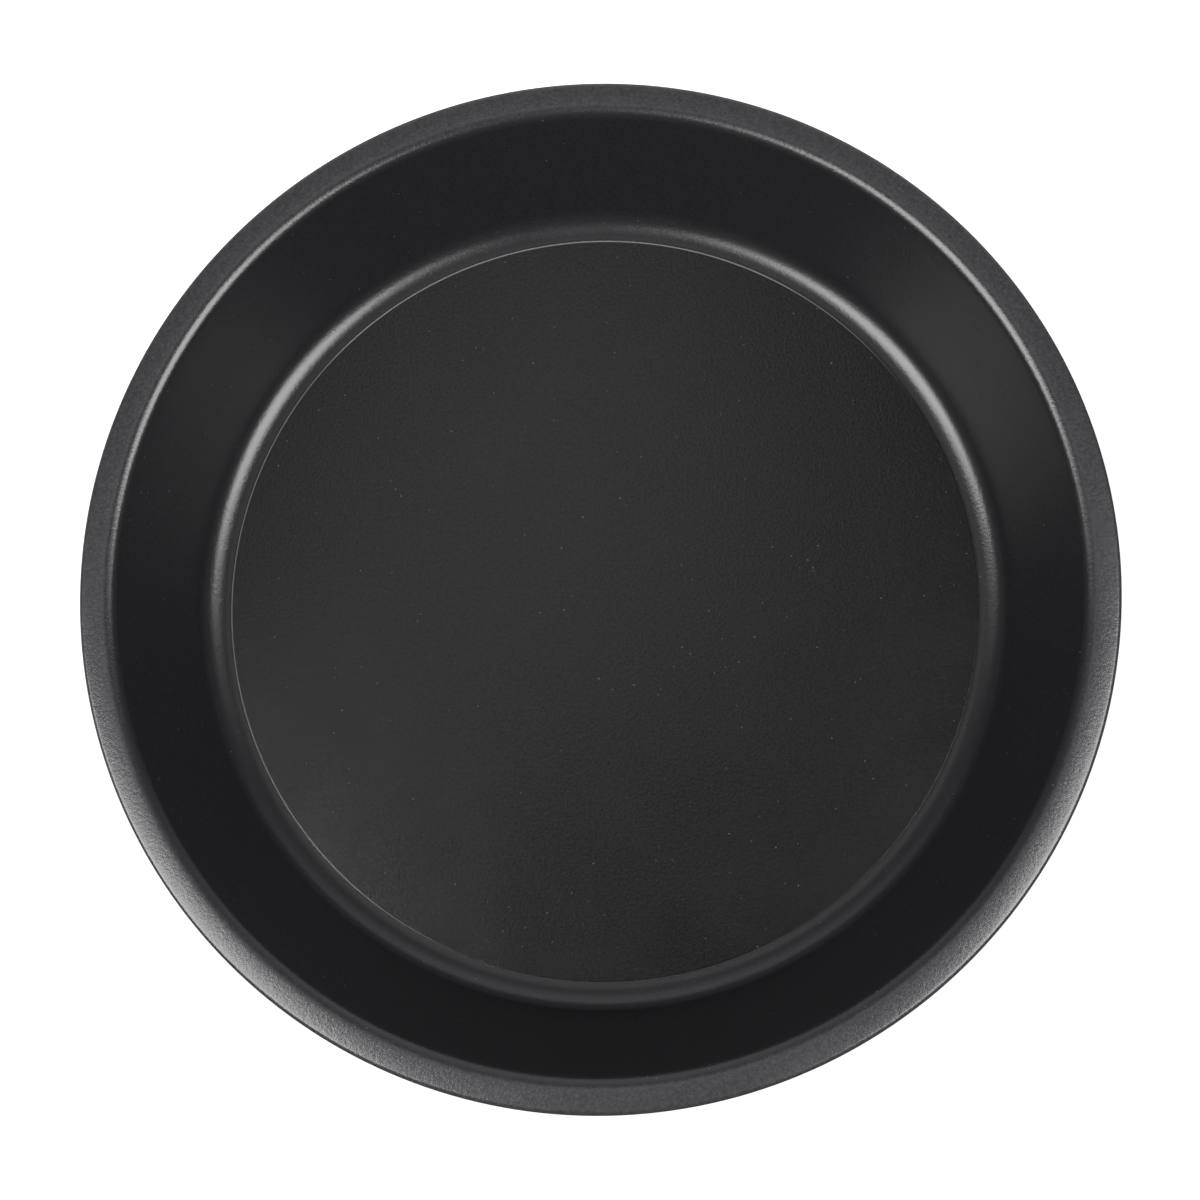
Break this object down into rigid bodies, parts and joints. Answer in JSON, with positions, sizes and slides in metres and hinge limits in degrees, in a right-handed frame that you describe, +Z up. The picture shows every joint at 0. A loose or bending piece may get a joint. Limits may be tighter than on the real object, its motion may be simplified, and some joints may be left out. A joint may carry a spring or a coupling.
{
  "type": "tart pan",
  "caption": "Plain-sided round tart pan: a flared ring with a rolled rim and an inner ledge, and a flat loose base that lies on the ledge and lifts out through the mouth.",
  "frame": {"origin": "centre of the circle that the pan stands on, on the underside of the ring's ledge", "axes": "+Z up along the pan's axis of revolution, out through the mouth; +X and +Y are any two radii, as the pan is round"},
  "size_m": [0.244, 0.244, 0.036],
  "materials": {
    "ring_coating": "satin non-stick coating, dark charcoal",
    "base_coating": "satin non-stick coating, dark charcoal",
    "rim_wire": "drawn steel wire"
  },
  "bodies": {
    "ring": {"side_ring": "ring_coating", "rim_wire": "rim_wire"},
    "base": {"loose_base": "base_coating"}
  },
  "joints": [
    {"name": "base_lift", "type": "slide", "parent": "ring", "child": "base", "axis": [0, 0, 1], "range_m": [0, 0.06]}
  ]
}
